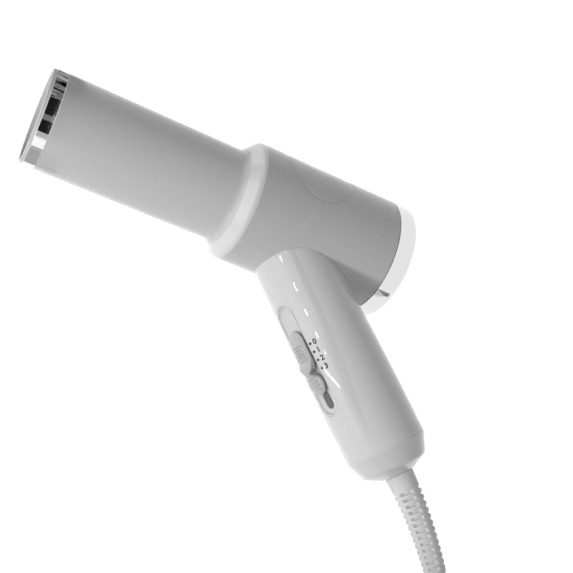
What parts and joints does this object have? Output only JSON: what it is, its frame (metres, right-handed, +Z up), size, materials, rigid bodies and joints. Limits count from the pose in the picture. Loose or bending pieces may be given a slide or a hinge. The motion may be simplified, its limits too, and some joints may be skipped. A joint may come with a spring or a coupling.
{
  "type": "hair dryer",
  "caption": "Hair dryer with a long round nozzle, stepped collar, chrome end rings, raked round handle with two sliding switches, ribbed strain relief and coiled mains cord.",
  "frame": {"origin": "on the surface that the dryer lies on, under the middle of the dryer's own box, its free cord left out", "axes": "+X along the barrel from the nozzle to the rear grille, +Y towards the top of the dryer, +Z up; the dryer lies on its side"},
  "size_m": [0.3288, 0.3259, 0.0694],
  "materials": {
    "tube_plastic": "glossy moulded, pale grey",
    "body_plastic": "glossy moulded, pale grey",
    "white_plastic": "glossy moulded, white",
    "badge_plastic": "glossy, bare",
    "track_plastic": "glossy, white",
    "slider_plastic": "silver-grey, satin gloss",
    "dark_plastic": "moulded, dark grey",
    "bright_chrome": "mirror plated",
    "rear_chrome": "mirror plated",
    "mica": "pressed mica sheet",
    "heating_wire": "oxidised resistance wire",
    "steel": "zinc plated",
    "brass": "tinned brass",
    "brass_nickel": "nickel plated brass",
    "circuit_board": "lacquered board",
    "wire_brown": "insulated wire",
    "wire_red": "insulated wire",
    "cord_rubber": "white cord jacket, satin",
    "relief_rubber": "soft white, satin",
    "tie_plastic": "soft grey strap",
    "plug_rubber": "white moulded plug, satin"
  },
  "bodies": {
    "dryer": {"nozzle_tube": "tube_plastic", "nozzle_ring": "bright_chrome", "outlet_grille": "dark_plastic", "heat_sleeve": "mica", "heater_boards": "mica", "heater_wire": "heating_wire", "thermal_cutout": "steel", "thermal_fuse": "brass", "collar": "white_plastic", "body_shell": "body_plastic", "badge": "badge_plastic", "fan_duct": "dark_plastic", "motor": "steel", "motor_board": "circuit_board", "intake_filter": "steel", "rear_ring": "rear_chrome", "rear_grille": "dark_plastic", "handle_shell": "white_plastic", "handle_screws": "steel", "end_cap": "white_plastic", "cord_clamp": "white_plastic", "clamp_screws": "steel", "switch_track": "track_plastic", "speed_switch": "dark_plastic", "heat_switch": "dark_plastic", "switch_terminals": "brass", "supply_wires": "wire_brown", "lead_wires": "wire_red", "inner_cord": "cord_rubber", "strain_relief": "relief_rubber", "mains_cord": "cord_rubber", "cord_coil": "cord_rubber", "cord_tie": "tie_plastic", "plug_body": "plug_rubber", "plug_pins": "brass_nickel"},
    "rotor": {"motor_shaft": "steel", "fan": "dark_plastic"},
    "speed_knob": {"speed_slider": "slider_plastic"},
    "heat_knob": {"heat_slider": "slider_plastic"}
  },
  "joints": [
    {"name": "fan_spin", "type": "hinge", "parent": "dryer", "child": "rotor", "pos_m": [0.06467, 0.04974, 0.0347], "axis": [1, 0, 0], "continuous": true},
    {"name": "speed_slide", "type": "slide", "parent": "dryer", "child": "speed_knob", "axis": [-0.6211, 0.7794, 0.0821], "range_m": [0, 0.0144]},
    {"name": "heat_slide", "type": "slide", "parent": "dryer", "child": "heat_knob", "axis": [0.6211, -0.7794, -0.0821], "range_m": [0, 0.011]}
  ]
}
